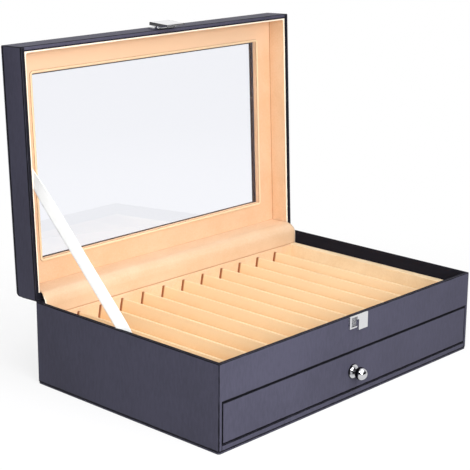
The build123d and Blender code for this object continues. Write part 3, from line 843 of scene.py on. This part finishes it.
# A flat band along the straight line between its ends, turned about that line by an angle
# that rises smoothly from 0 and falls back to 0, and cupped across by a shallow parabola.
ribbon_side = np.cross(ribbon_way, ribbon_face)
ribbon_along = np.linspace(0, 1, 121)[:, None]
ribbon_across = np.linspace(-0.5, 0.5, 17)[None, :]
twist_most = math.radians(18)
twist_rise = 0.10       # of the ribbon's length, from its lower end
twist_fall = 0.22       # of it, up to its upper end
into_low = np.clip(ribbon_along / twist_rise, 0, 1)
into_high = np.clip((1 - ribbon_along) / twist_fall, 0, 1)
ribbon_twist = (twist_most * into_low ** 2 * (3 - 2 * into_low)
                * into_high ** 2 * (3 - 2 * into_high))[..., None]
twisted_side = ribbon_side * np.cos(ribbon_twist) - ribbon_face * np.sin(ribbon_twist)
twisted_face = ribbon_face * np.cos(ribbon_twist) + ribbon_side * np.sin(ribbon_twist)
cup_depth = 0.00012
cupping = cup_depth * (4 * ribbon_across ** 2 - 0.5) * np.sin(np.pi * ribbon_along)
ribbon_grid = (ribbon_start + ribbon_run * ribbon_along[..., None]
               + twisted_side * ribbon_width * ribbon_across[..., None]
               + twisted_face * cupping[..., None])
ribbon = surface("ribbon_stay_band", ribbon_grid)
sheet_coordinates(ribbon, ribbon_across * ribbon_width, ribbon_along * ribbon_length)
thicken(ribbon, ribbon_thickness, 0.0)


def satin():
    """White satin: fine threads along the ribbon's length and a ribbed woven edge on each side.

    The height is half a sine across the ribbon, for the threads, plus a sine along it for
    the cross threads, which is deeper at the woven edges.
    """
    material, tree, shader = new_material("white satin")
    uv = tree.nodes.new("ShaderNodeUVMap")
    uv.uv_map = "cloth"
    split = tree.nodes.new("ShaderNodeSeparateXYZ")
    tree.links.new(uv.outputs["UV"], split.inputs[0])
    thread_width = 0.00025
    pick_width = 0.0005
    threads = calc(tree, "SINE", calc(tree, "MULTIPLY", split.outputs["X"],
                                      2 * math.pi / thread_width))
    picks = calc(tree, "SINE", calc(tree, "MULTIPLY", split.outputs["Y"],
                                    2 * math.pi / pick_width))
    border = ramp(tree, calc(tree, "ABSOLUTE", split.outputs["X"]),
                  ribbon_width * 0.42, ribbon_width * 0.45)
    picks_depth = calc(tree, "ADD", 0.12, calc(tree, "MULTIPLY", border, 0.7))
    weave = calc(tree, "ADD", calc(tree, "MULTIPLY", threads, 0.5),
                 calc(tree, "MULTIPLY", picks, picks_depth))
    tree.links.new(tint(tree, border, srgb(253, 253, 252), srgb(246, 246, 246)),
                   shader.inputs["Base Color"])
    shader.inputs["Roughness"].default_value = 0.42
    shader.inputs["Specular IOR Level"].default_value = 0.5
    shader.inputs["Sheen Weight"].default_value = 0.3
    weave_depth = 0.00002
    add_bump(tree, shader, weave, weave_depth)
    return material


ribbon.data.materials.append(satin())
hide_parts("ribbon_stay")
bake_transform(ribbon)


# --- Floor, light and camera --------------------------------------------------------------------
# A wide pale floor under plain soft studio light. The floor and the sky look white to the
# camera, to mirrors and through glass, while the floor still takes the chest's shadow.

def white_where_seen(tree, plain, share, mirrored_share):
    """Turns a share of a shader to plain white for the camera and glass, and another for chrome."""
    rays = tree.nodes.new("ShaderNodeLightPath")
    seen = calc(tree, "MAXIMUM", rays.outputs["Is Camera Ray"],
                rays.outputs["Is Transmission Ray"])
    glow = tree.nodes.new("ShaderNodeEmission")
    mix = tree.nodes.new("ShaderNodeMixShader")
    white = calc(tree, "MAXIMUM", calc(tree, "MULTIPLY", seen, share),
                 calc(tree, "MULTIPLY", rays.outputs["Is Glossy Ray"], mirrored_share))
    tree.links.new(white, mix.inputs["Fac"])
    tree.links.new(plain, mix.inputs[1])
    tree.links.new(glow.outputs["Emission"], mix.inputs[2])
    return mix.outputs["Shader"]


floor_half = 12.0
floor_mesh = bpy.data.meshes.new("floor")
floor_corners = [(-floor_half, -floor_half, 0), (floor_half, -floor_half, 0),
                 (floor_half, floor_half, 0), (-floor_half, floor_half, 0)]
floor_mesh.from_pydata(floor_corners, [], [(0, 1, 2, 3)])
floor = bpy.data.objects.new("floor", floor_mesh)
bpy.context.scene.collection.objects.link(floor)
floor_paint, floor_tree, floor_shader = new_material("floor")
floor_rays = floor_tree.nodes.new("ShaderNodeLightPath")
# Light bounces off the floor as off a grey one, and the camera sees it as nearly white.
floor_lit = (0.36, 0.36, 0.36, 1)
floor_seen = (0.94, 0.94, 0.97, 1)
floor_tree.links.new(
    tint(floor_tree, floor_rays.outputs["Is Camera Ray"], floor_lit, floor_seen),
    floor_shader.inputs["Base Color"])
floor_shader.inputs["Roughness"].default_value = 0.9
floor_shader.inputs["Specular IOR Level"].default_value = 0.0
from_middle = floor_tree.nodes.new("ShaderNodeVectorMath")
from_middle.operation = "LENGTH"
floor_tree.links.new(own_place(floor_tree), from_middle.inputs[0])
# Round the chest a little of the shadow is left in. Polished metal sees the floor mostly
# white out to 0.6 m, and as plain grey floor from 1.5 m on.
white_share = ramp(floor_tree, from_middle.outputs["Value"], 0.2, 0.5, 0.82, 1.0)
near_share = ramp(floor_tree, from_middle.outputs["Value"], 0.6, 1.5, 0.8, 0.0)
floor_tree.links.new(
    white_where_seen(floor_tree, floor_shader.outputs["BSDF"], white_share, near_share),
    floor_tree.nodes["Material Output"].inputs["Surface"])
floor_mesh.materials.append(floor_paint)

sky = bpy.data.worlds.new("sky")
bpy.context.scene.world = sky
sky.use_nodes = True
sky_tree = sky.node_tree
sky_plain = sky_tree.nodes["Background"]
sky_plain.inputs["Color"].default_value = (1.0, 1.0, 1.0, 1.0)
sky_rays = sky_tree.nodes.new("ShaderNodeLightPath")
sky_plain_strength = 0.2
sky_place = sky_tree.nodes.new("ShaderNodeTexCoord").outputs["Generated"]
sky_way = sky_tree.nodes.new("ShaderNodeSeparateXYZ")
sky_tree.links.new(sky_place, sky_way.inputs[0])
behind = sky_tree.nodes.new("ShaderNodeVectorMath")
behind.operation = "DOT_PRODUCT"
sky_tree.links.new(sky_place, behind.inputs[0])
right_and_back = (0.73, 0.68, 0.0)
behind.inputs[1].default_value = right_and_back

# In polished metal and glass, the sky is white overhead and to the right and back, and
# nearly black elsewhere, as a dark room with two large soft lamps is.
sky_mirrored_strength = calc(
    sky_tree, "MAXIMUM", ramp(sky_tree, sky_way.outputs["Z"], 0.45, 0.92, 0.02, 0.9),
    ramp(sky_tree, behind.outputs["Value"], 0.05, 0.55, 0.02, 0.95))
sky_seen = calc(sky_tree, "MAXIMUM", sky_rays.outputs["Is Camera Ray"],
                sky_rays.outputs["Is Transmission Ray"])
sky_unseen = ramp(sky_tree, sky_rays.outputs["Is Glossy Ray"], 0.0, 1.0,
                  sky_plain_strength, sky_mirrored_strength, smooth=False)
sky_tree.links.new(ramp(sky_tree, sky_seen, 0.0, 1.0, sky_unseen, 1.0, smooth=False),
                   sky_plain.inputs["Strength"])


def area_light(name, place, aim, size, power):
    """A square lamp at place that faces aim."""
    lamp = bpy.data.lights.new(name, "AREA")
    lamp.size = size
    lamp.energy = power
    holder = bpy.data.objects.new(name, lamp)
    bpy.context.scene.collection.objects.link(holder)
    holder.location = place
    holder.rotation_euler = (Vector(aim) - Vector(place)).to_track_quat("-Z", "Y").to_euler()


area_light("key light", (-0.45, -0.80, 0.45), (0, 0, 0.1), 0.5, 9.8)
area_light("side light", (-0.8, -0.2, 0.9), (0, 0, 0.1), 0.4, 2.6)
area_light("top light", (0.1, -1.0, 1.7), (0, 0, 0.1), 1.4, 20.0)

camera_data = bpy.data.cameras.new("camera")
camera_data.sensor_width = 36.0
camera_data.lens = 109.16
camera_data.clip_end = 60.0
camera = bpy.data.objects.new("camera", camera_data)
bpy.context.scene.collection.objects.link(camera)
camera_azimuth = math.radians(-46.961)
camera_height = math.radians(15.559)
camera_roll = math.radians(0.364)
camera_place = Vector((-0.9172, -0.8246, 0.4677))
backward = Vector((math.sin(camera_azimuth) * math.cos(camera_height),
                   -math.cos(camera_azimuth) * math.cos(camera_height), math.sin(camera_height)))
level = Vector((math.cos(camera_azimuth), math.sin(camera_azimuth), 0))
upright = backward.cross(level)
right = math.cos(camera_roll) * level + math.sin(camera_roll) * upright
up = -math.sin(camera_roll) * level + math.cos(camera_roll) * upright
camera_turn = Matrix((right, up, backward)).transposed().to_4x4()
camera.matrix_world = Matrix.Translation(camera_place) @ camera_turn
bpy.context.scene.camera = camera
bpy.context.scene.view_settings.view_transform = "Standard"
